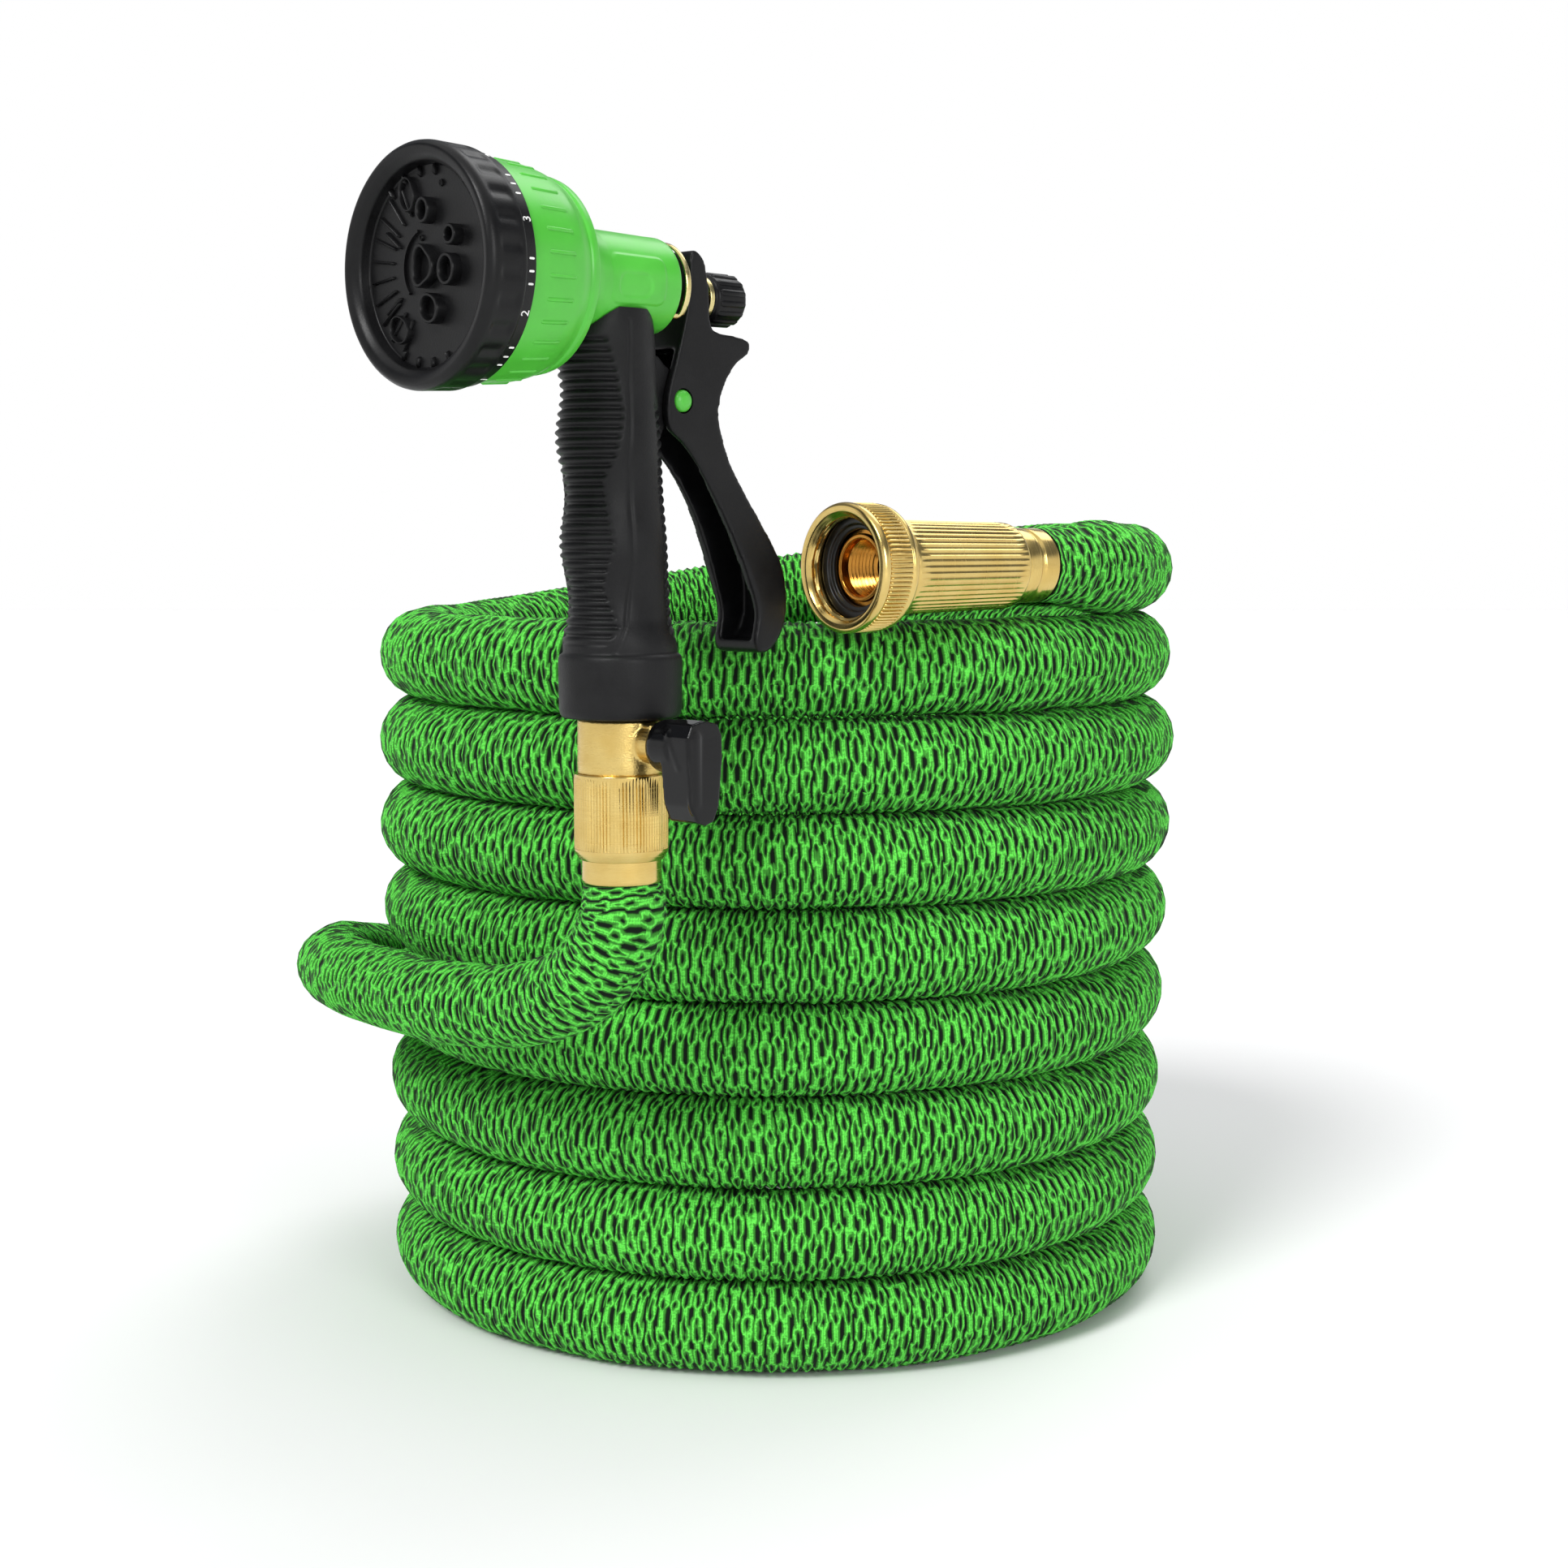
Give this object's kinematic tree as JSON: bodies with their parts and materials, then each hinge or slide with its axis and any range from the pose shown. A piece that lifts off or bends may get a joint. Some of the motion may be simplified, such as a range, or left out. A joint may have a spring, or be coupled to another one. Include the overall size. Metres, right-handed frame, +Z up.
{
  "type": "garden hose",
  "caption": "Fabric-sleeved expandable garden hose wound in an upright stack, with a tap swivel nut, a shut-off valve and a spray nozzle.",
  "frame": {"origin": "middle of the footprint, on the floor", "axes": "+Z up along the stack, -Y towards the nozzle that stands in front, +X to the right of someone who faces it"},
  "size_m": [0.2612, 0.3591, 0.3082],
  "materials": {
    "sleeve_fabric": "crinkled woven polyester",
    "turned_brass": "turned and knurled",
    "plated_wire": "bright plated",
    "lime_plastic": "moulded, satin gloss",
    "satin_black_plastic": "moulded, satin",
    "gloss_black_plastic": "moulded, glossy",
    "grip_rubber": "soft overmoulding",
    "seal_rubber": "moulded"
  },
  "bodies": {
    "hose": {"hose_coil": "sleeve_fabric", "hose_top_turn": "sleeve_fabric", "hose_loose_end": "sleeve_fabric", "inlet_seal": "seal_rubber", "inlet_stem": "turned_brass", "inlet_sleeve": "turned_brass", "inlet_collar": "turned_brass", "outlet_ferrule": "turned_brass", "outlet_sleeve": "turned_brass", "valve_body": "turned_brass", "nozzle_grip": "grip_rubber", "nozzle_barrel": "lime_plastic", "pivot_pin": "lime_plastic", "spring_wire": "plated_wire"},
    "swivel_nut": {"swivel_nut": "turned_brass"},
    "valve_handle": {"valve_handle": "gloss_black_plastic"},
    "spray_dial": {"spray_dial": "satin_black_plastic"},
    "trigger": {"trigger": "satin_black_plastic"},
    "plunger": {"plunger_rod": "turned_brass", "plunger_washer": "plated_wire"},
    "flow_knob": {"flow_knob": "satin_black_plastic"}
  },
  "joints": [
    {"name": "nut_swivel", "type": "hinge", "parent": "hose", "child": "swivel_nut", "pos_m": [0.0297, -0.08777, 0.2143], "axis": [-0.7705, -0.6374, 0], "continuous": true},
    {"name": "valve_turn", "type": "hinge", "parent": "hose", "child": "valve_handle", "pos_m": [-0.0235, -0.12007, 0.1735], "axis": [0.7071, -0.7071, 0], "range_deg": [0, 90]},
    {"name": "dial_turn", "type": "hinge", "parent": "hose", "child": "spray_dial", "pos_m": [-0.0235, -0.12007, 0.2812], "axis": [-0.7071, -0.7071, 0], "continuous": true},
    {"name": "trigger_hinge", "type": "hinge", "parent": "hose", "child": "trigger", "pos_m": [-0.01346, -0.11003, 0.2543], "axis": [-0.7071, 0.7071, 0], "range_deg": [0, 14], "stiffness_Nm_per_rad": 0.08, "springref_deg": -20.05},
    {"name": "plunger_slide", "type": "slide", "parent": "hose", "child": "plunger", "axis": [0.7071, 0.7071, 0], "range_m": [0, 0.006]},
    {"name": "knob_turn", "type": "hinge", "parent": "plunger", "child": "flow_knob", "pos_m": [-0.0235, -0.12007, 0.2794], "axis": [-0.7071, -0.7071, 0], "continuous": true}
  ],
  "couplings": [
    {"joint": "plunger_slide", "follows": "trigger_hinge", "m_per_rad": 0.0245}
  ]
}
